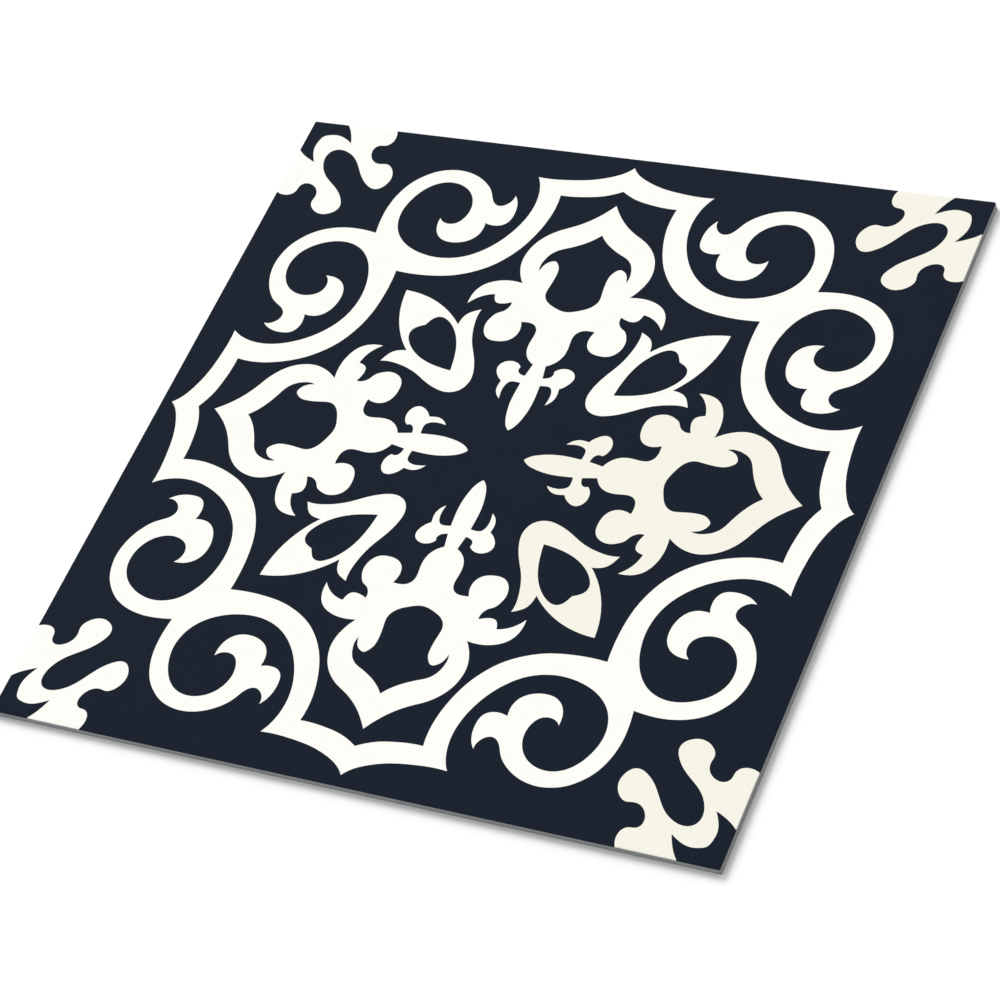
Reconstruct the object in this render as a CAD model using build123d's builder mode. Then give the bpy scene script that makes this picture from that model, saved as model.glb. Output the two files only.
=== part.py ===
"""Square vinyl floor tile.

One die-cut sheet of filled vinyl, laid flat with its printed wear face up.
The frame's origin is the middle of the underside. X and Y run along the edges,
and +Z points out of the wear face. Lengths are in millimetres.
"""

import os

from build123d import *

# Sheet
tile_side = 304.8  # 12 inch floor module, edge to edge
tile_gauge = 3.2  # 1/8 inch, underside to wear face

# Marks that the cutting die leaves on the sheet
corner_radius = 0.5  # plan radius at the four corners
arris_radius = 0.3  # rolled-over edge along the wear face
burr_chamfer = 0.15  # broken edge along the underside

# Tile
with BuildPart() as vinyl_tile:
    with BuildSketch():
        RectangleRounded(tile_side, tile_side, corner_radius)
    extrude(amount=tile_gauge)
    wear_face = vinyl_tile.faces().sort_by(Axis.Z)[-1]
    fillet(wear_face.edges(), arris_radius)
    underside = vinyl_tile.faces().sort_by(Axis.Z)[0]
    chamfer(underside.edges(), burr_chamfer)

vinyl_tile.part.label = "vinyl_tile"

os.makedirs("parts", exist_ok=True)
export_step(vinyl_tile.part, "parts/vinyl_tile.step")
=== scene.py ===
"""Square vinyl floor tile with a scroll and fleur ornament printed on its wear face.

The sheet has the packed part's side, gauge, rolled arris and broken lower edge. The ornament is drawn
as the outlines of one eighth of the tile. Mirrored and turned, they part the wear face into ground,
white and cream areas, so that each ink has its own faces and a crisp border.
Lengths are in metres, except in the lists of knots, in the lens and where a name ends in MM.
"""

import cmath
import math

import bmesh
import bpy
import numpy as np
from bpy.props import FloatProperty, FloatVectorProperty, IntProperty, PointerProperty
from mathutils import Matrix, Vector


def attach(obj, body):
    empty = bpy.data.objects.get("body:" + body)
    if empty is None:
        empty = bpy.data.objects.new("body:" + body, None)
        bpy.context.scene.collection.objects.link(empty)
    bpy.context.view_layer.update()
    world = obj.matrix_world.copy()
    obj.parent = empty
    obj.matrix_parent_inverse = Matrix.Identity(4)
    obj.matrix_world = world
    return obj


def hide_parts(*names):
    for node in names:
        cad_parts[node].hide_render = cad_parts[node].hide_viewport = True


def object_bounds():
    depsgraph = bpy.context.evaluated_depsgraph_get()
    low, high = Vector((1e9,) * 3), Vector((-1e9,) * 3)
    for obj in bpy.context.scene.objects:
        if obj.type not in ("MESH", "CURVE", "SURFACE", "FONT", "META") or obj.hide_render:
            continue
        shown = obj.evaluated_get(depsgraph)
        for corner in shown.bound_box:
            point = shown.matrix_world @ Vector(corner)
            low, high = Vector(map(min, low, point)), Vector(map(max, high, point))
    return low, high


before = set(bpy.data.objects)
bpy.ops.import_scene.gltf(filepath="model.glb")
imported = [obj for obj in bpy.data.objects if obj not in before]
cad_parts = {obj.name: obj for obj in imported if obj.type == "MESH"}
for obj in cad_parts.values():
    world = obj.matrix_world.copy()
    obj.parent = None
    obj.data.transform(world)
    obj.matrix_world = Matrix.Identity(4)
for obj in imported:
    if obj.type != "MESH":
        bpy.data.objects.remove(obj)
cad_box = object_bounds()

bl_info = {
    "name": "Printed Vinyl Tile",
    "version": (1, 0, 0),
    "blender": (4, 5, 0),
    "location": "3D View > Sidebar > Tile",
    "description": "A die-cut vinyl floor tile with a scroll and fleur ornament in three inks",
    "category": "Add Mesh",
}

MM = 0.001
TILE_NODE = "vinyl_tile"
TILE_PIECE = "printed_vinyl_tile"

# Ornament

# Knots are in millimetres from the tile's middle, in the eighth where x >= 0 and y >= x. TIP marks a
# sharp point. The first and last knots of an outline lie on the eighth's own borders.
TIP = "tip"
DRAWN_SIDE_MM = 304.8
# The ground's dark ink runs in over the drawn outlines by this much.
GROUND_OVERLAP_MM = 0.13

SCROLL_BAND_OUTSIDE = [
    (0, 147.9), (2.9, 144.85), (8, 141.9), (16, 139.15), (25, 137.7), (33, 137.1), (39.4, 137.25, TIP),
    # down the neck and round the big volute
    (37.6, 134.2), (36, 130), (35.05, 123), (35.85, 116), (37.95, 109.75), (41.95, 102.65),
    (46.95, 97.05), (52.95, 92.85), (60, 90.45), (66, 89.9), (74, 91), (80, 93.2), (85, 96.5),
    (88.8, 101), (90.75, 106), (91.2, 110), (90.1, 116.3), (87.3, 122), (82, 127), (75.7, 128.7),
    (70, 127.6), (65, 124.1), (62.3, 119.2), (61.8, 116), (62.6, 111.7), (65, 108.5), (68.3, 107.6),
    (71.2, 108.4), (73, 110, TIP),
    # the curl's eye and its two barbs
    (73.1, 107.7), (72.3, 104), (70.4, 101), (67, 98.8), (63.5, 98.2), (58, 99.15), (54.1, 101.7),
    (52.25, 105), (51.9, 108), (52.2, 110.2, TIP), (48.5, 109.45), (45, 110.1), (42.9, 111.7),
    (41.7, 115.5), (42, 120.3), (43.2, 123.6), (45.25, 126.3, TIP),
    # back over the volute to the diagonal
    (45.5, 123.8), (47, 121.4), (50, 120), (52.5, 120.9), (55, 124.2), (57, 127.4), (60, 130.3),
    (65, 133.4), (70, 135.1), (75.5, 135.7), (80, 135.15), (85, 133.5), (89.9, 130.2), (93.9, 125.9),
    (96.8, 120.4), (98.3, 115.2), (99, 108), (98.75, 103), (98.1, 98.1),
]
SCROLL_BAND_INSIDE = [
    (0, 134.85), (3, 133.2), (8, 131.2), (14, 129.95), (20, 129.2), (25.85, 129.15, TIP), (25.3, 124),
    (25.4, 120), (26.3, 114), (28.7, 106), (31.5, 100), (36, 93.65), (41, 88.8), (48, 84.55), (56, 81.6),
    (64, 80.25), (72, 79.8), (80.2, 80.2),
]
FLEUR_OUTSIDE = [
    # crown and shoulder
    (0, 127.6), (3, 123.55), (8, 118.4), (14, 114.2), (19, 111.4), (23, 108.15), (26.2, 104),
    (28, 99.5), (28.6, 95), (27.9, 90.5), (26, 86.05), (23.75, 82.9, TIP),
    # side leaf
    (28, 83.4), (32, 83.1), (36, 81.9), (39.5, 79.75), (41.8, 76.6), (42.8, 72.8), (42.7, 69.2, TIP),
    (40, 72.15), (36.95, 74.2), (32.9, 75.5, TIP), (32.5, 73.9), (31.2, 71.9), (29, 71.3), (26.5, 71.75),
    (24.2, 72.75, TIP),
    # round lobe
    (24.15, 71.3), (24.7, 69.65), (26, 68), (28.2, 66.6), (29.8, 64.3), (30.8, 61), (30.6, 58.5),
    (29.1, 55.3), (26.5, 53.4), (23, 52.95), (19, 53.7), (16.3, 55.7), (15.05, 59), (15.2, 61.5),
    (16.1, 63.9, TIP),
    # stem and collar
    (13.5, 64.05), (10.7, 63.5), (8.7, 61.55), (8.2, 58.8), (8.5, 55.5), (8.5, 52), (7.2, 48.2),
    (5.05, 45.8), (2.9, 44.5, TIP), (3.95, 38.7, TIP), (5.5, 39.05), (7.1, 40.1), (7.5, 41.2),
    (7.2, 42.5, TIP), (8.6, 43.85), (10.3, 44.6), (12.3, 44.8), (14.5, 44.2), (16.4, 42.5), (16.9, 40.4),
    (16.1, 38.05), (14.6, 36.1), (12.8, 34.75, TIP), (13.05, 33.2), (13.15, 31.2), (12.3, 28.5),
    (11.2, 27.1), (9.9, 26.2, TIP),
    # foot
    (10.3, 29), (10.35, 31), (9.9, 33.1), (8.6, 34.8), (7, 35.1), (4.35, 34.8, TIP), (4.7, 30.5),
    (4.8, 26.5), (4.4, 22), (3.4, 17.55), (1.75, 13.85), (0, 12),
]
FLEUR_OPENING = [
    (0, 111.5), (3, 108.35), (8, 104.9), (11.95, 102.9), (15, 101.4), (17.6, 98.95), (19.15, 95.5),
    (19.6, 92.3), (19.2, 89.9, TIP), (18.85, 92.1), (17.7, 94.2), (16, 95.5), (14.5, 95.9), (12.8, 94.8),
    (11.4, 92.5), (10.95, 89.5), (11.1, 86), (11.6, 82), (11.7, 79.5), (10.7, 76.95), (8.5, 74.85),
    (5, 73.1), (0, 71.85),
]
LEAF_OUTSIDE = [
    (71.6, 71.6), (66, 71), (60, 69.55), (54, 67.1), (48, 63.5), (42.2, 58.4, TIP), (42, 60.7),
    (41.25, 62.95), (39.75, 64.9), (37.75, 66.2), (35.3, 67.3, TIP), (35.6, 64), (35.2, 60), (34, 55),
    (32, 50), (29.2, 45.05), (27.2, 41.05), (25.8, 37.05), (25.25, 33.5), (25.6, 30.9), (27.5, 27.5),
]
LEAF_OPENING = [
    (55.75, 55.75), (54.9, 57.5), (53.2, 59.8), (50.8, 60.65), (48.05, 59.9), (44, 56.8), (40.6, 52.35),
    (38.2, 47.1), (36.8, 41.8), (35.9, 35.9),
]
# The sprig's two outlines start on the wear face's border, whose y draw_guides puts in for None.
SPRIG_INSIDE = [
    (112.15, None), (111.25, 148.8), (111.95, 145.45), (114, 143.75), (116.95, 143.2), (118.45, 141.7),
    (118.6, 139), (117.3, 136.3), (115, 134.4), (112.2, 133.9), (109.3, 134.2), (106.3, 132.6),
    (104.3, 129.6), (103.75, 126.5), (105, 122.7), (107, 120.7), (109.2, 120.2), (112.5, 121.35),
    (117, 125), (121, 130.1), (125.15, 134.95), (129.05, 137.5), (133.15, 138.6), (137.2, 137.2),
]
SPRIG_OUTSIDE = [
    (136.05, None), (134.6, 150.4), (132.8, 147.55), (130.6, 142.9, TIP), (133, 144.45), (136, 145.8),
    (139.2, 146.35), (142.35, 145.9), (144.75, 144.75),
]


def drawn_in(knots, inset):
    """Moves the knots of an outline to its right, or to its left where the inset is negative.

    A tip moves along its own middle line, and an end along the line that it lies on: the axis, the
    diagonal or the wear face's border.
    """
    places = [complex(knot[0], knot[1]) for knot in knots]
    steps = [b - a for a, b in zip(places, places[1:])]
    last = len(steps)
    moved = []
    for k, place in enumerate(places):
        before, after = steps[max(k - 1, 0)], steps[min(k, last - 1)]
        # A smooth knot heads along the circle through it and its neighbours, and a tip across itself.
        power = 1 if len(knots[k]) > 2 else 2
        along = before / abs(before) ** power + after / abs(after) ** power
        across = -1j * along / abs(along)
        if k in (0, last):
            if place.real == 0:
                line = 1j
            else:
                line = 1 + 1j if place.real == place.imag else 1
            across = line / (across * line.conjugate()).real
        moved.append(place + inset * across)
    return [(place.real, place.imag, *knot[2:]) for place, knot in zip(moved, knots)]


def reach(turn_in, turn_out):
    """How far a handle reaches along its span, as a share of it, for the turns at the span's two ends."""
    sin_a, cos_a = math.sin(turn_in), math.cos(turn_in)
    sin_b, cos_b = math.sin(turn_out), math.cos(turn_out)
    swing = math.sqrt(2) * (sin_a - sin_b / 16) * (sin_b - sin_a / 16) * (cos_a - cos_b)
    spread = 1 + 0.5 * (math.sqrt(5) - 1) * cos_a + 0.5 * (3 - math.sqrt(5)) * cos_b
    return (2 + swing) / (3 * spread)


def turn_from(step, heading):
    """Angle in radians from a span to a heading, which is given in degrees."""
    return cmath.phase(cmath.rect(1, math.radians(heading)) / step)


def smooth_run(knots, heading_in=None, heading_out=None):
    """Handles of one smooth run through complex knots, with the bend kept even across every knot.

    Gives one (first handle, second handle) for each span. Headings fix the run's direction at an end;
    a free end continues its neighbour's bend.
    """
    spans = [b - a for a, b in zip(knots, knots[1:])]
    last = len(spans)
    if last == 1 and heading_in is None and heading_out is None:
        return [(knots[0] + spans[0] / 3, knots[1] - spans[0] / 3)]
    bends = [0.0] + [cmath.phase(b / a) for a, b in zip(spans, spans[1:])] + [0.0]
    rows, sums = np.zeros((last + 1, last + 1)), np.zeros(last + 1)
    if heading_in is None:
        rows[0, :2], sums[0] = 1, -bends[1]
    else:
        rows[0, 0], sums[0] = 1, turn_from(spans[0], heading_in)
    for k in range(1, last):
        before, after = 1 / abs(spans[k - 1]), 1 / abs(spans[k])
        rows[k, k - 1:k + 2] = before, 2 * (before + after), after
        sums[k] = -2 * bends[k] * before - bends[k + 1] * after
    if heading_out is None:
        rows[last, last - 1:] = 1
    else:
        rows[last, last], sums[last] = 1, turn_from(spans[-1], heading_out)
    turns = np.linalg.solve(rows, sums)
    handles = []
    for k, span in enumerate(spans):
        leave, arrive = turns[k], -bends[k + 1] - turns[k + 1]
        handles.append((
            knots[k] + cmath.exp(1j * leave) * span * reach(leave, arrive),
            knots[k + 1] - cmath.exp(-1j * arrive) * span * reach(arrive, leave),
        ))
    return handles


def add_spline(data, knots, heading_in=None, heading_out=None):
    """Adds one open spline through (x, y) knots in metres. A third item marks a tip, where runs meet."""
    places = [complex(knot[0], knot[1]) for knot in knots]
    last = len(knots) - 1
    stops = [0] + [k for k in range(1, last) if len(knots[k]) > 2] + [last]
    handles = []
    for a, b in zip(stops, stops[1:]):
        handles += smooth_run(places[a:b + 1], heading_in if a == 0 else None,
                              heading_out if b == last else None)
    spline = data.splines.new("BEZIER")
    spline.bezier_points.add(last)
    for k, point in enumerate(spline.bezier_points):
        point.handle_left_type = point.handle_right_type = "FREE"
        left = handles[k - 1][1] if k > 0 else places[k]
        right = handles[k][0] if k < last else places[k]
        point.co = (places[k].real, places[k].imag, 0)
        point.handle_left = (left.real, left.imag, 0)
        point.handle_right = (right.real, right.imag, 0)


def new_object(name, data):
    """Adds an object with its data to the scene."""
    item = bpy.data.objects.new(name, data)
    bpy.context.scene.collection.objects.link(item)
    return item


def guide_curve(name, runs, steps):
    """Makes a curve object from runs of (knots, heading in, heading out)."""
    data = bpy.data.curves.new(name, "CURVE")
    data.dimensions = "3D"
    data.resolution_u = steps
    for run in runs:
        add_spline(data, *run)
    return new_object(name, data)


# The side of an outline that the ornament is on, seen along its knots
RIGHT, LEFT = 1, -1
# Every motif is mirrored across the axis, and one on the diagonal is then turned back by 90 degrees.
ON_AXIS, ON_DIAGONAL = 0, -90
# Each guide's mirror turn, first cream quarter and number of cream quarters
MOTIFS = {
    "Scroll Band": (ON_AXIS, 0, 0),
    "Fleur": (ON_AXIS, 3, 1),
    "Leaf": (ON_DIAGONAL, 3, 1),
    "Sprig": (ON_DIAGONAL, 3, 2),
    "Sprig Mouth": (ON_DIAGONAL, 3, 2),
    "Border": (ON_DIAGONAL, 0, 0),
}


def draw_guides(sizes):
    """Draws one eighth of every motif and of the wear face's border."""
    scale = sizes.side / DRAWN_SIDE_MM
    edge = sizes.side / 2 - sizes.arris_radius
    round_off = sizes.corner_radius - sizes.arris_radius
    bend = edge - round_off
    middle = bend + round_off * math.cos(math.radians(45))

    def sized(knots, ornament_side):
        placed = [(k[0] * scale, edge if k[1] is None else k[1] * scale, *k[2:]) for k in knots]
        return drawn_in(placed, ornament_side * GROUND_OVERLAP_MM * scale)

    sprig = [sized(SPRIG_INSIDE, LEFT), sized(SPRIG_OUTSIDE, RIGHT)]
    mouth = [outline[0] for outline in sprig]
    runs = {
        "Scroll Band": [(sized(SCROLL_BAND_OUTSIDE, RIGHT),), (sized(SCROLL_BAND_INSIDE, LEFT),)],
        "Fleur": [(sized(FLEUR_OUTSIDE, RIGHT),), (sized(FLEUR_OPENING, LEFT), None, 180)],
        "Leaf": [(sized(LEAF_OUTSIDE, LEFT), None, -45), (sized(LEAF_OPENING, RIGHT),)],
        "Sprig": [(outline, None, -45) for outline in sprig],
        "Sprig Mouth": [(mouth,)],
        "Border": [([(0, edge), mouth[0]],), ([mouth[1], (bend, edge)],),
                   ([(bend, edge), (middle, middle)], 0, -45)],
    }
    return {name: guide_curve(name, runs[name], sizes.curve_steps) for name in MOTIFS}


# Node building
COLUMN_WIDTH, ROW_HEIGHT = 220, 190


def out_of(value):
    """A node stands for its first output in use, and anything else for itself."""
    if isinstance(value, bpy.types.Node):
        return next(s for s in value.outputs if s.enabled)
    return value


def join_up(tree, node, inputs):
    """Fills or joins a node's inputs, named by identifier or name, and puts it right of what feeds it."""
    column = 0
    for name, value in inputs.items():
        found = [s for s in node.inputs if s.identifier == name]
        found += [s for s in node.inputs if s.name == name and s.enabled]
        if not found:
            raise RuntimeError(f"{node.bl_idname} has no input named {name}")
        for item in value if isinstance(value, list) else [value]:
            item = out_of(item)
            if isinstance(item, bpy.types.NodeSocket):
                tree.links.new(item, found[0])
                column = max(column, round(item.node.location.x / COLUMN_WIDTH) + 1)
            else:
                found[0].default_value = item
    row = sum(round(other.location.x / COLUMN_WIDTH) == column for other in tree.nodes if other != node)
    node.location = (column * COLUMN_WIDTH, -row * ROW_HEIGHT)
    return node


def place(tree, kind, inputs=None, **settings):
    """Adds a node with its settings, and joins it up."""
    node = tree.nodes.new(kind)
    for name, value in settings.items():
        setattr(node, name, value)
    return join_up(tree, node, inputs or {})


def place_group(tree, group, inputs):
    """Adds a node that stands for a group, and joins it up."""
    return place(tree, tree.bl_idname.replace("Tree", "Group"), inputs, node_tree=group)


def math_node(tree, operation, first, second=0.0, third=0.0):
    """Adds a Math node."""
    values = {"Value": first, "Value_001": second, "Value_002": third}
    return place(tree, "ShaderNodeMath", values, operation=operation)


def vector_node(tree, operation, first, second=None, scale=None):
    """Adds a Vector Math node."""
    values = {"Vector": first}
    if second is not None:
        values["Vector_001"] = second
    if scale is not None:
        values["Scale"] = scale
    return place(tree, "ShaderNodeVectorMath", values, operation=operation)


def new_group(name, kind, inputs, outputs):
    """Starts a node group. Inputs are (name, socket kind, default) and outputs (name, socket kind)."""
    tree = bpy.data.node_groups.new(name, kind)
    for label, socket_kind, default in inputs:
        socket = tree.interface.new_socket(label, in_out="INPUT", socket_type="NodeSocket" + socket_kind)
        if default is not None:
            socket.default_value = default
    for label, socket_kind in outputs:
        tree.interface.new_socket(label, in_out="OUTPUT", socket_type="NodeSocket" + socket_kind)
    entry = place(tree, "NodeGroupInput")
    return tree, entry.outputs


# Geometry node groups
GEOMETRY = "GeometryNodeTree"
QUARTERS = 4


def turned_motif_group():
    """Completes a motif from one eighth, and parts its cream quarters from its white ones."""
    tree, given = new_group("Turned Motif", GEOMETRY, [
        ("Outline", "Geometry", None), ("Mirror Turn", "Float", 0.0),
        ("First Cream", "Int", 0), ("Cream Quarters", "Int", 0),
    ], [("All", "Geometry"), ("White", "Geometry"), ("Cream", "Geometry")])
    turn = place(tree, "ShaderNodeCombineXYZ", {"Z": given["Mirror Turn"]})
    mirrored = place(tree, "GeometryNodeTransform", {
        "Geometry": given["Outline"], "Rotation": turn, "Scale": (-1, 1, 1)})
    pair = place(tree, "GeometryNodeJoinGeometry", {"Geometry": [given["Outline"], mirrored]})
    centres = place(tree, "GeometryNodeMeshLine", {"Count": QUARTERS, "Offset": (0, 0, 0)})
    index = place(tree, "GeometryNodeInputIndex")
    quarter_turn = math_node(tree, "MULTIPLY", index, math.tau / QUARTERS)
    rotation = place(tree, "ShaderNodeCombineXYZ", {"Z": quarter_turn})
    quarters = place(tree, "GeometryNodeInstanceOnPoints", {
        "Points": centres, "Instance": pair, "Rotation": rotation})
    past_first = math_node(tree, "SUBTRACT", index, given["First Cream"])
    rank = math_node(tree, "FLOORED_MODULO", past_first, QUARTERS)
    is_cream = place(tree, "FunctionNodeCompare", {"A": rank, "B": given["Cream Quarters"]},
                     data_type="FLOAT", operation="LESS_THAN")
    parted = place(tree, "GeometryNodeSeparateGeometry", {"Geometry": quarters, "Selection": is_cream},
                   domain="INSTANCE")
    results = {"All": quarters, "White": parted.outputs["Inverted"], "Cream": parted.outputs["Selection"]}
    place(tree, "NodeGroupOutput", {
        name: place(tree, "GeometryNodeRealizeInstances", {"Geometry": value})
        for name, value in results.items()})
    return tree


def inked_area_group():
    """Fills closed outlines, one inside the other by turns, and gives the faces their ink."""
    tree, given = new_group("Inked Area", GEOMETRY, [
        ("Outlines", "Geometry", None), ("Join Distance", "Float", 0.0), ("Ink", "Material", None),
    ], [("Mesh", "Geometry")])
    drawn = place(tree, "GeometryNodeCurveToMesh", {"Curve": given["Outlines"]})
    joined = place(tree, "GeometryNodeMergeByDistance", {
        "Geometry": drawn, "Distance": given["Join Distance"]})
    loops = place(tree, "GeometryNodeMeshToCurve", {"Mesh": joined})
    filled = place(tree, "GeometryNodeFillCurve", {"Curve": loops}, mode="TRIANGLES")
    inked = place(tree, "GeometryNodeSetMaterial", {"Geometry": filled, "Material": given["Ink"]})
    place(tree, "NodeGroupOutput", {"Mesh": inked})
    return tree


def open_edges(tree):
    """Selection of the edges that have a face on one side only."""
    faces = place(tree, "GeometryNodeInputMeshEdgeNeighbors")
    return place(tree, "FunctionNodeCompare", {"A_INT": faces, "B_INT": 1},
                 data_type="INT", operation="EQUAL")


def rim_row_group():
    """Draws one row of faces from the sheet's open edge to a line set by its outset and height.

    A crease keeps the light on the row apart from the light on the next one.
    """
    tree, given = new_group("Rim Row", GEOMETRY, [
        ("Mesh", "Geometry", None), ("Half Side", "Float", 0.1), ("Corner Radius", "Float", 0.0),
        ("Outset", "Float", 0.0), ("Height", "Float", 0.0), ("Smooth", "Bool", False),
        ("Crease", "Bool", False),
    ], [("Mesh", "Geometry"), ("Row", "Bool")])
    drawn = place(tree, "GeometryNodeExtrudeMesh", {
        "Mesh": given["Mesh"], "Selection": open_edges(tree), "Offset Scale": 0.0}, mode="EDGES")
    position = place(tree, "GeometryNodeInputPosition")
    plan = vector_node(tree, "MULTIPLY", position, (1, 1, 0))
    limit = math_node(tree, "SUBTRACT", given["Half Side"], given["Corner Radius"])
    high = place(tree, "ShaderNodeCombineXYZ", {"X": limit, "Y": limit})
    low = vector_node(tree, "SCALE", high, scale=-1.0)
    centre = vector_node(tree, "MINIMUM", vector_node(tree, "MAXIMUM", plan, low), high)
    outwards = vector_node(tree, "NORMALIZE", vector_node(tree, "SUBTRACT", plan, centre))
    radius = math_node(tree, "ADD", given["Corner Radius"], given["Outset"])
    line = vector_node(tree, "ADD", centre, vector_node(tree, "SCALE", outwards, scale=radius))
    height = place(tree, "ShaderNodeCombineXYZ", {"Z": given["Height"]})
    moved = place(tree, "GeometryNodeSetPosition", {
        "Geometry": drawn.outputs["Mesh"], "Selection": drawn.outputs["Top"],
        "Position": vector_node(tree, "ADD", line, height)})
    shaded = place(tree, "GeometryNodeSetShadeSmooth", {
        "Geometry": moved, "Selection": drawn.outputs["Side"], "Shade Smooth": given["Smooth"]})
    is_crease = place(tree, "FunctionNodeBooleanMath", {
        "Boolean": drawn.outputs["Top"], "Boolean_001": given["Crease"]}, operation="AND")
    creased = place(tree, "GeometryNodeSetShadeSmooth", {
        "Geometry": shaded, "Selection": is_crease, "Shade Smooth": False}, domain="EDGE")
    place(tree, "NodeGroupOutput", {"Mesh": creased, "Row": drawn.outputs["Side"]})
    return tree


SHEET_SIZES = ("Side", "Gauge", "Corner Radius", "Arris Radius", "Burr")
SHEET_FINISHES = ("Ground Ink", "White Ink", "Cream Ink", "Cut Edge", "Backing")


def tile_sheet_group():
    """The whole sheet: inked wear face, rolled arris, cut edge, broken lower edge and underside."""
    tree, given = new_group(
        "Tile Sheet", GEOMETRY,
        [(name + " Guide", "Object", None) for name in MOTIFS]
        + [(name, "Float", 0.0) for name in SHEET_SIZES]
        + [("Arris Steps", "Int", 1), ("Join Distance", "Float", 0.0)]
        + [(name, "Material", None) for name in SHEET_FINISHES],
        [("Mesh", "Geometry")])
    tree.is_modifier = True
    turned_motif, inked_area, rim_row = turned_motif_group(), inked_area_group(), rim_row_group()

    motifs = {}
    for name, (mirror_turn, first, quarters) in MOTIFS.items():
        guide = place(tree, "GeometryNodeObjectInfo", {"Object": given[name + " Guide"]})
        motifs[name] = place_group(tree, turned_motif, {
            "Outline": guide.outputs["Geometry"], "Mirror Turn": math.radians(mirror_turn),
            "First Cream": first, "Cream Quarters": quarters}).outputs

    def inked(colour, part, names):
        outlines = place(tree, "GeometryNodeJoinGeometry", {"Geometry": [motifs[n][part] for n in names]})
        return place_group(tree, inked_area, {
            "Outlines": outlines, "Join Distance": given["Join Distance"], "Ink": given[colour]})

    ornament = ["Scroll Band", "Fleur", "Leaf", "Sprig"]
    areas = [
        inked("Ground Ink", "All", ornament + ["Border"]),
        inked("White Ink", "White", ornament + ["Sprig Mouth"]),
        inked("Cream Ink", "Cream", ornament[1:] + ["Sprig Mouth"]),
    ]
    wear_face = place(tree, "GeometryNodeJoinGeometry", {"Geometry": areas})
    top = place(tree, "ShaderNodeCombineXYZ", {"Z": given["Gauge"]})
    raised = place(tree, "GeometryNodeTransform", {"Geometry": wear_face, "Translation": top})
    welded = place(tree, "GeometryNodeMergeByDistance", {
        "Geometry": raised, "Distance": given["Join Distance"]})
    mesh = place(tree, "GeometryNodeSetShadeSmooth", {"Geometry": welded, "Shade Smooth": False})

    half = math_node(tree, "MULTIPLY", given["Side"], 0.5)
    plan = {"Half Side": half, "Corner Radius": given["Corner Radius"]}

    # Rolled arris, a quarter circle that the print follows
    rows = tree.nodes.new("GeometryNodeRepeatInput")
    rows_end = tree.nodes.new("GeometryNodeRepeatOutput")
    rows.pair_with_output(rows_end)
    join_up(tree, rows, {"Geometry": mesh, "Iterations": given["Arris Steps"]})
    row_number = math_node(tree, "ADD", rows.outputs["Iteration"], 1.0)
    share = math_node(tree, "DIVIDE", row_number, given["Arris Steps"])
    angle = math_node(tree, "MULTIPLY", share, math.pi / 2)
    sine, cosine = math_node(tree, "SINE", angle), math_node(tree, "COSINE", angle)
    arris = given["Arris Radius"]
    shoulder = math_node(tree, "SUBTRACT", given["Gauge"], arris)
    rolled = place_group(tree, rim_row, {
        "Mesh": rows.outputs["Geometry"], **plan, "Smooth": True,
        "Outset": math_node(tree, "MULTIPLY", math_node(tree, "SUBTRACT", sine, 1.0), arris),
        "Height": math_node(tree, "MULTIPLY_ADD", cosine, arris, shoulder)})
    join_up(tree, rows_end, {"Geometry": rolled.outputs["Mesh"]})

    # Cut edge and broken lower edge
    mesh = rows_end.outputs["Geometry"]
    inward = math_node(tree, "MULTIPLY", given["Burr"], -1.0)
    cut_rows = []
    for outset, height, is_wall in ((0.0, given["Burr"], True), (inward, 0.0, False)):
        row = place_group(tree, rim_row, {
            "Mesh": mesh, **plan, "Outset": outset, "Height": height, "Smooth": is_wall,
            "Crease": is_wall})
        mesh = row.outputs["Mesh"]
        cut_rows.append(row.outputs["Row"])

    # Underside
    last_line = place(tree, "GeometryNodeMeshToCurve", {"Mesh": mesh, "Selection": open_edges(tree)})
    underside = place_group(tree, inked_area, {
        "Outlines": last_line, "Join Distance": given["Join Distance"], "Ink": given["Backing"]})
    facing_down = place(tree, "GeometryNodeFlipFaces", {"Mesh": underside})
    plain = place(tree, "GeometryNodeSetShadeSmooth", {"Geometry": facing_down, "Shade Smooth": False})
    whole = place(tree, "GeometryNodeJoinGeometry", {"Geometry": [mesh, plain]})
    closed = place(tree, "GeometryNodeMergeByDistance", {
        "Geometry": whole, "Distance": given["Join Distance"]})
    realized = place(tree, "GeometryNodeRealizeInstances", {"Geometry": closed})
    is_cut = place(tree, "FunctionNodeBooleanMath", {"Boolean": cut_rows[0], "Boolean_001": cut_rows[1]},
                   operation="OR")
    finished = place(tree, "GeometryNodeSetMaterial", {
        "Geometry": realized, "Selection": is_cut, "Material": given["Cut Edge"]})
    place(tree, "NodeGroupOutput", {"Mesh": finished})
    return tree


# Finishes
SHADER = "ShaderNodeTree"


def noise_about_zero(tree, size, detail, roughness=0.5, stretch=None):
    """Noise in object space with lumps of the given size, from about -1 to 1."""
    where = place(tree, "ShaderNodeTexCoord").outputs["Object"]
    if stretch:
        where = vector_node(tree, "MULTIPLY", where, stretch)
    noise = place(tree, "ShaderNodeTexNoise", {
        "Vector": where, "Scale": math_node(tree, "DIVIDE", 1.0, size),
        "Detail": detail, "Roughness": roughness})
    return math_node(tree, "MULTIPLY_ADD", noise.outputs["Fac"], 2.0, -1.0)


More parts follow.
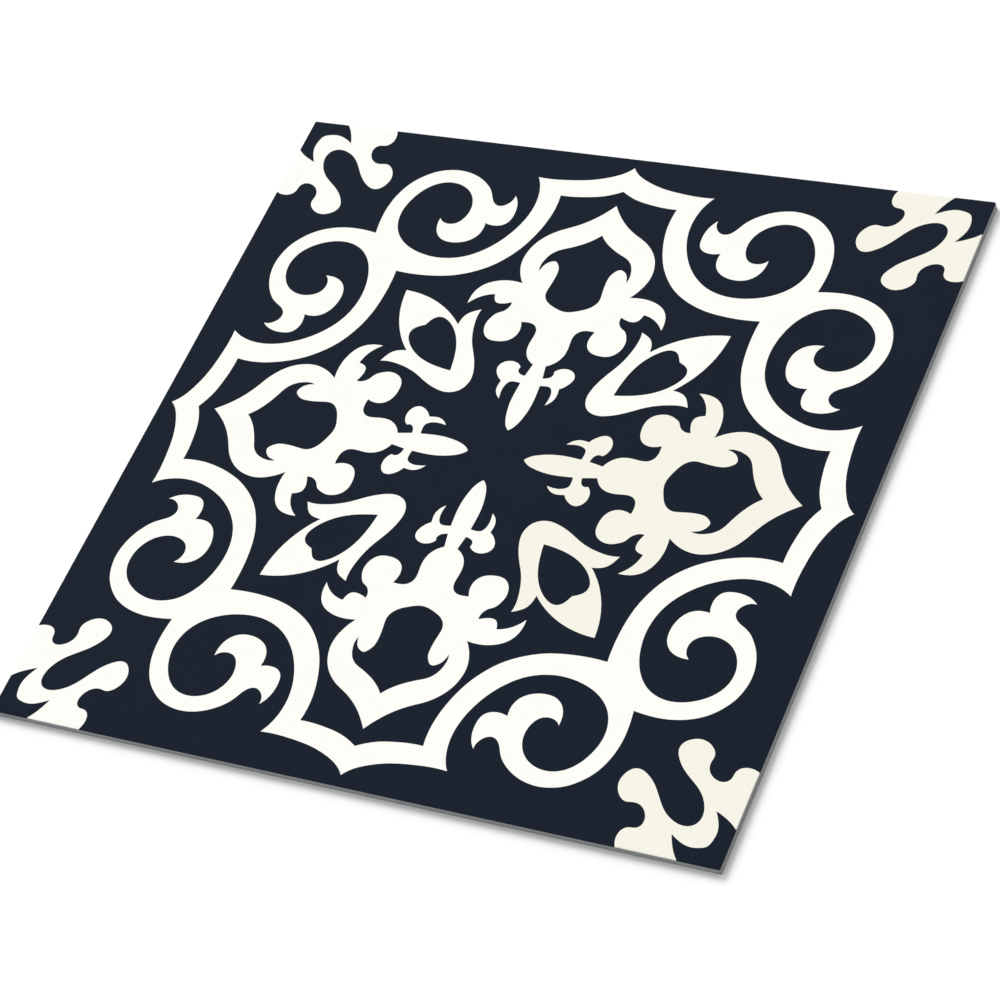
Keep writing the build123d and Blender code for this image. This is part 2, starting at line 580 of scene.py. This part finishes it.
def print_tone_group():
    """An ink as it lies on the film: cloudy over centimetres and grainy over tenths of a millimetre."""
    tree, given = new_group("Print Tone", SHADER, [
        ("Ink", "Color", (1, 1, 1, 1)), ("Cloud Size", "Float", 14 * MM), ("Cloud Depth", "Float", 0.03),
        ("Grain Size", "Float", 0.3 * MM), ("Grain Depth", "Float", 0.03),
    ], [("Color", "Color")])
    clouds = noise_about_zero(tree, given["Cloud Size"], detail=3)
    grain = noise_about_zero(tree, given["Grain Size"], detail=1)
    cloudy = math_node(tree, "MULTIPLY_ADD", clouds, given["Cloud Depth"], 1.0)
    tone = math_node(tree, "MULTIPLY_ADD", grain, given["Grain Depth"], cloudy)
    colour = vector_node(tree, "SCALE", given["Ink"], scale=tone)
    place(tree, "NodeGroupOutput", {"Color": colour})
    return tree


def wear_coat_group():
    """The clear wear coat: uneven gloss, the shallow orange peel of its cure, and its fine matt grain.

    The height comes out in metres.
    """
    tree, given = new_group("Wear Coat", SHADER, [
        ("Roughness", "Float", 0.5), ("Smear Size", "Float", 22 * MM), ("Gloss Spread", "Float", 0.06),
        ("Peel Size", "Float", 1.6 * MM), ("Peel Depth", "Float", 0.04 * MM),
        ("Grain Size", "Float", 0.35 * MM), ("Grain Depth", "Float", 0.014 * MM),
    ], [("Roughness", "Float"), ("Height", "Float")])
    smears = noise_about_zero(tree, given["Smear Size"], detail=4, roughness=0.6)
    roughness = math_node(tree, "MULTIPLY_ADD", smears, given["Gloss Spread"], given["Roughness"])
    peel = noise_about_zero(tree, given["Peel Size"], detail=1)
    grain = noise_about_zero(tree, given["Grain Size"], detail=1)
    waves = math_node(tree, "MULTIPLY", peel, given["Peel Depth"])
    height = math_node(tree, "MULTIPLY_ADD", grain, given["Grain Depth"], waves)
    place(tree, "NodeGroupOutput", {"Roughness": roughness, "Height": height})
    return tree


def mineral_filler_group():
    """Vinyl full of ground stone, with pale and dark specks that also stand out as grain."""
    tree, given = new_group("Mineral Filler", SHADER, [
        ("Body", "Color", (0.3, 0.3, 0.3, 1)), ("Speck Size", "Float", 0.35 * MM),
        ("Speck Depth", "Float", 0.14), ("Cloud Size", "Float", 5 * MM), ("Cloud Share", "Float", 0.3),
    ], [("Color", "Color"), ("Height", "Float")])
    specks = noise_about_zero(tree, given["Speck Size"], detail=2, roughness=0.7)
    clouds = noise_about_zero(tree, given["Cloud Size"], detail=2)
    both = math_node(tree, "MULTIPLY_ADD", clouds, given["Cloud Share"], specks)
    tone = math_node(tree, "MULTIPLY_ADD", both, given["Speck Depth"], 1.0)
    colour = vector_node(tree, "SCALE", given["Body"], scale=tone)
    place(tree, "NodeGroupOutput", {"Color": colour, "Height": specks})
    return tree


def new_finish(name):
    """Starts a material with an empty tree, and gives both."""
    material = bpy.data.materials.new(name)
    material.use_nodes = True
    material.node_tree.nodes.clear()
    return material, material.node_tree


def add_surface(tree, colour, roughness, specular, height, strength, depth):
    """Ends a material's tree with its surface, on which the height is a relief of the given depth."""
    relief = place(tree, "ShaderNodeBump", {"Height": height, "Strength": strength, "Distance": depth})
    surface = place(tree, "ShaderNodeBsdfPrincipled", {
        "Base Color": colour, "Roughness": roughness, "Specular IOR Level": specular, "Normal": relief})
    place(tree, "ShaderNodeOutputMaterial", {"Surface": surface})


def printed_finish(name, ink, groups, look, cloud_depth, grain_depth):
    """One printed ink under the wear coat."""
    material, tree = new_finish(name)
    tone_group, coat_group = groups
    tone = place_group(tree, tone_group, {
        "Ink": (*ink, 1), "Cloud Depth": cloud_depth, "Grain Depth": grain_depth})
    coat = place_group(tree, coat_group, {
        "Roughness": look.coat_roughness, "Peel Size": look.peel_size, "Peel Depth": look.peel_depth,
        "Grain Size": look.grain_size, "Grain Depth": look.grain_depth}).outputs
    add_surface(tree, tone, coat["Roughness"], look.coat_specular, coat["Height"], strength=1, depth=1)
    return material


FILLER_SPECULAR = 0.25
# The cut edge's layers: how thick each is, over what height it fades, and its tone against the body
FILM_THICKNESS, FILM_FADE, FILM_TONE = 0.3 * MM, 0.05 * MM, 0.42
BACK_COAT_THICKNESS, BACK_COAT_FADE, BACK_COAT_TONE = 0.38 * MM, 0.12 * MM, 0.82
# The marks that the die drags down the cut edge, drawn out along its height
DRAG_WIDTH, DRAG_STRETCH, DRAG_TONE, DRAG_GLOSS = 0.5 * MM, (1, 1, 0.06), 0.07, 0.08
CUT_ROUGHNESS, CUT_SPECKS = 0.74, 0.5


def cut_edge_finish(body, filler_group, sizes):
    """The die-cut side: a dark line of film and clear coat, filled vinyl, a back coat, and drag marks."""
    material, tree = new_finish("cut_vinyl_edge")
    filler = place_group(tree, filler_group, {"Body": (*body, 1)}).outputs
    where = place(tree, "ShaderNodeTexCoord").outputs["Object"]
    height = place(tree, "ShaderNodeSeparateXYZ", {"Vector": where}).outputs["Z"]
    film_from = sizes.gauge - sizes.arris_radius - FILM_THICKNESS
    film = place(tree, "ShaderNodeMapRange", {
        "Value": height, "From Min": film_from, "From Max": film_from + FILM_FADE,
        "To Min": 1.0, "To Max": FILM_TONE})
    back_coat = place(tree, "ShaderNodeMapRange", {
        "Value": height, "From Min": BACK_COAT_THICKNESS,
        "From Max": BACK_COAT_THICKNESS + BACK_COAT_FADE, "To Min": BACK_COAT_TONE, "To Max": 1.0})
    drag = noise_about_zero(tree, DRAG_WIDTH, detail=2, roughness=0.6, stretch=DRAG_STRETCH)
    drag_tone = math_node(tree, "MULTIPLY_ADD", drag, DRAG_TONE, 1.0)
    tone = math_node(tree, "MULTIPLY", math_node(tree, "MULTIPLY", film, back_coat), drag_tone)
    colour = vector_node(tree, "SCALE", filler["Color"], scale=tone)
    roughness = math_node(tree, "MULTIPLY_ADD", drag, DRAG_GLOSS, CUT_ROUGHNESS)
    grooves = math_node(tree, "MULTIPLY_ADD", filler["Height"], CUT_SPECKS, drag)
    add_surface(tree, colour, roughness, FILLER_SPECULAR, grooves, strength=0.7, depth=0.04 * MM)
    return material


# Rib pitch, the painted shade that darkens the rib valleys, and the crests' extra gloss
RIB_PITCH, RIB_PAINTED_SHADE, RIB_GLOSS = 2.6 * MM, 0.035, 0.05
BACKING_ROUGHNESS, BACKING_SPECKS = 0.8, 0.3


def backing_finish(body, filler_group):
    """The underside: filled vinyl with the fine crossed ribs that the calender roll leaves for glue."""
    material, tree = new_finish("ribbed_backing")
    filler = place_group(tree, filler_group, {
        "Body": (*body, 1), "Speck Size": 0.6 * MM, "Speck Depth": 0.1}).outputs
    where = place(tree, "ShaderNodeTexCoord").outputs["Object"]
    turned = place(tree, "ShaderNodeMapping", {"Vector": where, "Rotation": (0, 0, math.radians(45))})
    wave = vector_node(tree, "SCALE", turned, scale=math.tau / RIB_PITCH)
    split = place(tree, "ShaderNodeSeparateXYZ", {"Vector": wave})
    ribs_x, ribs_y = (math_node(tree, "SINE", split.outputs[axis]) for axis in ("X", "Y"))
    ribs = math_node(tree, "MAXIMUM", ribs_x, ribs_y)
    # Painted shade: the colour darkens from the rib crests down into the valleys
    painted_valley_shade = math_node(tree, "MULTIPLY_ADD", ribs, RIB_PAINTED_SHADE, 1 - RIB_PAINTED_SHADE)
    colour = vector_node(tree, "SCALE", filler["Color"], scale=painted_valley_shade)
    height = math_node(tree, "MULTIPLY_ADD", filler["Height"], BACKING_SPECKS, ribs)
    roughness = math_node(tree, "MULTIPLY_ADD", ribs, -RIB_GLOSS, BACKING_ROUGHNESS)
    add_surface(tree, colour, roughness, FILLER_SPECULAR, height, strength=0.8, depth=0.05 * MM)
    return material


def mix_finishes(look, sizes):
    """Makes the sheet's five materials, keyed as the sheet's tree names them."""
    groups, filler = (print_tone_group(), wear_coat_group()), mineral_filler_group()

    def ink(name, colour, cloud_depth, grain_depth):
        return printed_finish(name, colour, groups, look, cloud_depth, grain_depth)

    return {
        "Ground Ink": ink("navy_ground_ink", look.ground, cloud_depth=0.07, grain_depth=0.12),
        "White Ink": ink("white_ink", look.white, cloud_depth=0.01, grain_depth=0.012),
        "Cream Ink": ink("cream_ink", look.cream, cloud_depth=0.012, grain_depth=0.018),
        "Cut Edge": cut_edge_finish(look.edge, filler, sizes),
        "Backing": backing_finish(look.backing, filler),
    }


# Sheet
JOIN_DISTANCE = 0.01 * MM


def set_modifier_inputs(modifier, values):
    """Sets a Geometry Nodes modifier's inputs by the identifiers of its sockets."""
    for item in modifier.node_group.interface.items_tree:
        if item.item_type == "SOCKET" and item.in_out == "INPUT":
            modifier[item.identifier] = values[item.name]


def made_plain(piece):
    """Turns the result of a piece's modifiers into its own mesh and takes the modifiers off."""
    depsgraph = bpy.context.evaluated_depsgraph_get()
    mesh = bpy.data.meshes.new_from_object(
        piece.evaluated_get(depsgraph), preserve_all_data_layers=True, depsgraph=depsgraph)
    mesh.name = piece.name
    piece.modifiers.clear()
    piece.data = mesh
    return mesh


def check_sizes(sizes):
    """Stops the build if the arris leaves nothing of the corners' round or of the cut edge."""
    if sizes.arris_radius + JOIN_DISTANCE > sizes.corner_radius:
        raise RuntimeError("the arris radius has to be less than the corner radius")
    if sizes.arris_radius + sizes.burr + JOIN_DISTANCE > sizes.gauge:
        raise RuntimeError("the arris and the burr together have to be less than the gauge")


def check_closed(mesh):
    """Stops the build if the sheet isn't one closed skin, or if its faces point inwards."""
    test = bmesh.new()
    test.from_mesh(mesh)
    open_count = sum(len(edge.link_faces) != 2 for edge in test.edges)
    loose = sum(not vertex.link_faces for vertex in test.verts)
    volume = test.calc_volume(signed=True)
    test.free()
    if open_count or loose or volume <= 0:
        raise RuntimeError(f"the sheet has {open_count} edges without two faces, {loose} loose points "
                           f"and a volume of {volume}")


# Bake map
BAKE_MAP = "OFBake"
# On a map of side 1: the tile's side, the middles of the quarters, and the cut edge's strips
SIDE_SHARE = 0.476
LOW_MIDDLE, HIGH_MIDDLE = 0.25, 0.75
FIRST_STRIP, STRIP_STEP, STRIP_HEIGHT = 0.02, 0.115, 0.09
# Lengths below this count as none.
FLAT_WITHIN = 1e-7


def values_of(items, name, width=1, kind=float):
    """Reads one property of all items as an array, with one row for each item if it is wider than 1."""
    values = np.empty(len(items) * width, kind)
    items.foreach_get(name, values)
    return values.reshape(-1, width) if width > 1 else values


def unrolled_plan(co, sizes):
    """Plan of the wear face's points, with the arris unrolled outwards by its arc length."""
    half, radius, arris = sizes.side / 2, sizes.corner_radius, sizes.arris_radius
    plan = co[:, :2].copy()
    centre = np.clip(plan, radius - half, half - radius)
    outwards = plan - centre
    outwards /= np.maximum(np.linalg.norm(outwards, axis=1), FLAT_WITHIN)[:, None]
    angle = np.arccos(np.clip((co[:, 2] - (sizes.gauge - arris)) / arris, 0, 1))
    unrolled = centre + outwards * (radius - arris + arris * angle)[:, None]
    on_arris = co[:, 2] < sizes.gauge - FLAT_WITHIN
    plan[on_arris] = unrolled[on_arris]
    return plan


def lay_out_bake_map(mesh, sizes):
    """Writes the UV map that a texture bake uses.

    Ground, other inks, underside and cut edge have a quarter each, so that the ground's dark ink never
    runs over the ornament's border.
    """
    sides = values_of(mesh.polygons, "loop_total", kind=int)
    face = np.repeat(np.arange(len(sides)), sides)
    co = values_of(mesh.vertices, "co", 3)[values_of(mesh.loops, "vertex_index", kind=int)]
    centres = values_of(mesh.polygons, "center", 3)[face]
    finishes = np.array([material.name for material in mesh.materials])
    names = finishes[values_of(mesh.polygons, "material_index", kind=int)][face]
    is_ground, is_backing = names == "navy_ground_ink", names == "ribbed_backing"
    is_edge = names == "cut_vinyl_edge"

    scale = SIDE_SHARE / sizes.side
    uv = unrolled_plan(co, sizes) * scale + HIGH_MIDDLE
    uv[is_ground, 0] += LOW_MIDDLE - HIGH_MIDDLE
    uv[is_backing] = co[is_backing, :2] * scale + LOW_MIDDLE

    # Each of the four sides is a strip, with its height drawn out so that the layers keep their detail.
    along_y = np.abs(centres[:, 0]) > np.abs(centres[:, 1])
    run = np.where(along_y, co[:, 1], co[:, 0])
    across = np.where(along_y, centres[:, 0], centres[:, 1])
    strip_foot = FIRST_STRIP + STRIP_STEP * (2 * along_y + (across > 0))
    uv[is_edge, 0] = HIGH_MIDDLE + run[is_edge] * scale
    uv[is_edge, 1] = (strip_foot + STRIP_HEIGHT * co[:, 2] / sizes.gauge)[is_edge]
    layer = mesh.uv_layers.get(BAKE_MAP) or mesh.uv_layers.new(name=BAKE_MAP)
    layer.data.foreach_set("uv", uv.ravel())


# Settings
def length_setting(name, description, default, low, high, precision=5):
    """Declares a length for the panel."""
    return FloatProperty(name=name, description=description, default=default, min=low, max=high,
                         precision=precision, subtype="DISTANCE", unit="LENGTH")


def angle_setting(name, description, degrees):
    """Declares an angle for the panel."""
    return FloatProperty(name=name, description=description, default=math.radians(degrees),
                         subtype="ANGLE", unit="ROTATION")


def colour_setting(name, description, default):
    """Declares a linear colour for the panel."""
    return FloatVectorProperty(name=name, description=description, default=default, min=0, max=1,
                               subtype="COLOR")


def share_setting(name, description, default):
    """Declares a number from 0 to 1 for the panel."""
    return FloatProperty(name=name, description=description, default=default, min=0, max=1,
                         subtype="FACTOR")


class VinylTileSheet(bpy.types.PropertyGroup):
    """Sizes of the die-cut sheet."""

    side: length_setting(
        "Side", "Edge to edge, both ways", cad_box[1].x - cad_box[0].x, low=0.1, high=1.2)
    gauge: length_setting(
        "Gauge", "Underside to wear face", cad_box[1].z - cad_box[0].z, low=0.0015, high=0.01)
    corner_radius: length_setting(
        "Corner Radius", "Plan radius that the die leaves at the corners",
        0.5 * MM, low=0.0004, high=0.003)
    arris_radius: length_setting(
        "Arris Radius", "Rolled edge along the wear face, less than the corner radius",
        0.3 * MM, low=0.00005, high=0.001)
    burr: length_setting(
        "Burr", "Broken edge along the underside", 0.15 * MM, low=0.00005, high=0.0005)
    arris_steps: IntProperty(
        name="Arris Steps", description="Rows of faces round the rolled arris", default=6, min=1, max=16)
    curve_steps: IntProperty(
        name="Curve Steps", description="Straight pieces between two knots of an outline",
        default=6, min=1, max=12)


class VinylTileLook(bpy.types.PropertyGroup):
    """Inks and finishes of the sheet."""

    ground: colour_setting("Ground Ink", "Navy ground of the print", (0.0063, 0.0115, 0.0220))
    white: colour_setting("White Ink", "White of most of the ornament", (0.934, 0.930, 0.881))
    cream: colour_setting(
        "Cream Ink", "Cream of the fleur, leaf and sprigs on one side", (0.875, 0.857, 0.760))
    edge: colour_setting("Cut Edge", "Filled vinyl where the die has cut it", (0.30, 0.315, 0.325))
    backing: colour_setting("Backing", "Filled vinyl of the underside", (0.36, 0.365, 0.365))
    coat_roughness: share_setting("Coat Roughness", "How matt the wear coat is", 0.5)
    coat_specular: share_setting("Coat Specular", "How strongly the wear coat reflects", 0.06)
    peel_size: length_setting(
        "Peel Size", "Width of the lumps of the wear coat's orange peel",
        1.6 * MM, low=0.0002, high=0.01)
    peel_depth: length_setting(
        "Peel Depth", "Height of the orange peel", 0.04 * MM, low=0, high=0.0003, precision=6)
    grain_size: length_setting(
        "Grain Size", "Width of the grains that make the wear coat matt",
        0.35 * MM, low=0.00005, high=0.002)
    grain_depth: length_setting(
        "Grain Depth", "Height of the matt grain", 0.014 * MM, low=0, high=0.0001, precision=6)


class VINYL_TILE_OT_lay_sheet(bpy.types.Operator):
    """Lays the printed sheet: draws the ornament, turns it into inked faces, and closes the sheet"""

    bl_idname = "vinyl_tile.lay_sheet"
    bl_label = "Lay Printed Sheet"

    def execute(self, context):
        sizes, look = context.scene.vinyl_tile_sheet, context.scene.vinyl_tile_look
        check_sizes(sizes)
        guides = draw_guides(sizes)
        tile = new_object(TILE_PIECE, bpy.data.meshes.new(TILE_PIECE))
        modifier = tile.modifiers.new("Tile Sheet", "NODES")
        modifier.node_group = tile_sheet_group()
        set_modifier_inputs(modifier, {
            **{name + " Guide": guide for name, guide in guides.items()},
            "Side": sizes.side, "Gauge": sizes.gauge, "Corner Radius": sizes.corner_radius,
            "Arris Radius": sizes.arris_radius, "Burr": sizes.burr, "Arris Steps": sizes.arris_steps,
            "Join Distance": JOIN_DISTANCE, **mix_finishes(look, sizes)})
        mesh = made_plain(tile)
        for guide in guides.values():
            bpy.data.objects.remove(guide)
        check_closed(mesh)
        lay_out_bake_map(mesh, sizes)
        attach(tile, "root")
        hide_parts(TILE_NODE)
        return {"FINISHED"}


# Stage
SENSOR_WIDTH_MM = 36
FLOOR_REACH = 6.0
# The floor lies this far below the tile, so that the two never share a plane.
FLOOR_GAP = 0.02 * MM


class VinylTileStage(bpy.types.PropertyGroup):
    """Camera, light and floor."""

    azimuth: angle_setting("Azimuth", "Camera's turn round the tile from the front edge", 42.826)
    elevation: angle_setting("Elevation", "Camera's height above the floor", 48.957)
    roll: angle_setting("Roll", "Camera's turn about its own line of sight", -25.210)
    distance: length_setting("Distance", "Camera to the point it looks at", 1.2940, low=0.1, high=100)
    aim: FloatVectorProperty(
        name="Aim", description="Point on the wear face in the middle of the picture", size=3,
        default=(10.32 * MM, -19.75 * MM, 3.2 * MM), precision=5, subtype="TRANSLATION", unit="LENGTH")
    lens: FloatProperty(
        name="Lens", description="Focal length for a 36 mm sensor, in millimetres",
        default=123.04, min=10)
    dome: FloatProperty(
        name="Dome", description="Even light from all round, where 1 shows a white surface as white",
        default=0.67, min=0)
    dome_lean: share_setting("Dome Lean", "How much of the dome's light moves to the key's side", 0.9)
    key: FloatProperty(
        name="Key", description="The key lamp's share of light on the floor, on the dome's scale",
        default=0.39, min=0)
    key_azimuth: angle_setting(
        "Key Azimuth", "The key lamp's side, measured as the camera's azimuth is", 229.5)
    key_elevation: angle_setting("Key Elevation", "The key lamp's height", 39)
    key_spread: angle_setting(
        "Key Spread", "Angle that the key lamp fills, which softens its shadow", 28.5)
    floor: colour_setting("Floor", "Colour of the floor", (0.985, 0.985, 0.985))


def direction(azimuth, elevation):
    """Unit vector from the tile towards a point at that azimuth and elevation."""
    return Vector((math.sin(azimuth) * math.cos(elevation), -math.cos(azimuth) * math.cos(elevation),
                   math.sin(elevation)))


def add_camera(stage):
    """Adds the camera at the photograph's viewing angle."""
    back = direction(stage.azimuth, stage.elevation)
    level = (-back).cross(Vector((0, 0, 1))).normalized()
    upright = level.cross(-back)
    right = math.cos(stage.roll) * level + math.sin(stage.roll) * upright
    up = math.cos(stage.roll) * upright - math.sin(stage.roll) * level
    camera = new_object("camera", bpy.data.cameras.new("camera"))
    camera.data.lens = stage.lens
    camera.data.sensor_width = SENSOR_WIDTH_MM
    turned = Matrix((right, up, back)).transposed().to_4x4()
    camera.matrix_world = Matrix.Translation(Vector(stage.aim) + back * stage.distance) @ turned
    bpy.context.scene.camera = camera


def add_key_lamp(stage):
    """Adds the key lamp, as wide as a soft box."""
    data = bpy.data.lights.new("key_lamp", "SUN")
    data.energy = stage.key * math.pi / math.sin(stage.key_elevation)
    data.angle = stage.key_spread
    lamp = new_object("key_lamp", data)
    towards = direction(stage.key_azimuth, stage.key_elevation)
    lamp.rotation_euler = towards.to_track_quat("Z", "Y").to_euler()
    lamp.visible_glossy = False


def add_dome(stage):
    """Lights the scene from all round, more from the key's side, and shows as plain white."""
    world = bpy.data.worlds.new("studio_dome")
    world.use_nodes = True
    tree = world.node_tree
    tree.nodes.clear()
    towards = place(tree, "ShaderNodeTexCoord").outputs["Generated"]
    lean = vector_node(tree, "DOT_PRODUCT", towards, tuple(direction(stage.key_azimuth, 0)))
    share = math_node(tree, "MULTIPLY_ADD", lean.outputs["Value"], stage.dome_lean, 1.0)
    light = place(tree, "ShaderNodeBackground", {
        "Color": (1, 1, 1, 1), "Strength": math_node(tree, "MULTIPLY", share, stage.dome)})
    seen = place(tree, "ShaderNodeBackground", {"Color": (1, 1, 1, 1), "Strength": 1.0})
    path = place(tree, "ShaderNodeLightPath").outputs
    direct = math_node(tree, "ADD", path["Is Camera Ray"], path["Is Glossy Ray"])
    shown = math_node(tree, "ADD", direct, path["Is Transmission Ray"])
    mixed = place(tree, "ShaderNodeMixShader", {"Fac": shown, "Shader": light, "Shader_001": seen})
    place(tree, "ShaderNodeOutputWorld", {"Surface": mixed})
    bpy.context.scene.world = world


def add_floor(stage):
    """Adds the plain pale floor that the tile lies on."""
    mesh = bpy.data.meshes.new("floor")
    corners = [(x * FLOOR_REACH, y * FLOOR_REACH, 0) for x, y in ((-1, -1), (1, -1), (1, 1), (-1, 1))]
    mesh.from_pydata(corners, [], [(0, 1, 2, 3)])
    material, tree = new_finish("pale_floor")
    matt = place(tree, "ShaderNodeBsdfDiffuse", {"Color": (*stage.floor, 1)})
    place(tree, "ShaderNodeOutputMaterial", {"Surface": matt})
    mesh.materials.append(material)
    floor = new_object("floor", mesh)
    floor.location.z = -FLOOR_GAP


class VINYL_TILE_OT_set_stage(bpy.types.Operator):
    """Sets the stage: pale floor, soft key lamp, dome of light, and the camera"""

    bl_idname = "vinyl_tile.set_stage"
    bl_label = "Set Stage"

    def execute(self, context):
        stage = context.scene.vinyl_tile_stage
        add_floor(stage)
        add_key_lamp(stage)
        add_dome(stage)
        add_camera(stage)
        context.scene.view_settings.view_transform = "Standard"
        return {"FINISHED"}


# Add-on
SETTINGS = {
    "vinyl_tile_sheet": VinylTileSheet,
    "vinyl_tile_look": VinylTileLook,
    "vinyl_tile_stage": VinylTileStage,
}
OPERATORS = (VINYL_TILE_OT_lay_sheet, VINYL_TILE_OT_set_stage)


class VINYL_TILE_PT_sidebar(bpy.types.Panel):
    """Sizes, finishes and steps of the printed vinyl tile"""

    bl_idname = "VINYL_TILE_PT_sidebar"
    bl_label = "Printed Vinyl Tile"
    bl_space_type = "VIEW_3D"
    bl_region_type = "UI"
    bl_category = "Tile"

    def draw(self, context):
        for attribute, group in SETTINGS.items():
            box = self.layout.box()
            box.label(text=group.__doc__)
            for name in group.__annotations__:
                box.prop(getattr(context.scene, attribute), name)
        for operator in OPERATORS:
            self.layout.operator(operator.bl_idname)


CLASSES = (*SETTINGS.values(), *OPERATORS, VINYL_TILE_PT_sidebar)


def register():
    for cls in CLASSES:
        bpy.utils.register_class(cls)
    for attribute, group in SETTINGS.items():
        setattr(bpy.types.Scene, attribute, PointerProperty(type=group))


def unregister():
    for attribute in SETTINGS:
        delattr(bpy.types.Scene, attribute)
    for cls in reversed(CLASSES):
        bpy.utils.unregister_class(cls)


def main():
    register()
    bpy.ops.vinyl_tile.lay_sheet()
    bpy.ops.vinyl_tile.set_stage()


if __name__ == "__main__":
    main()
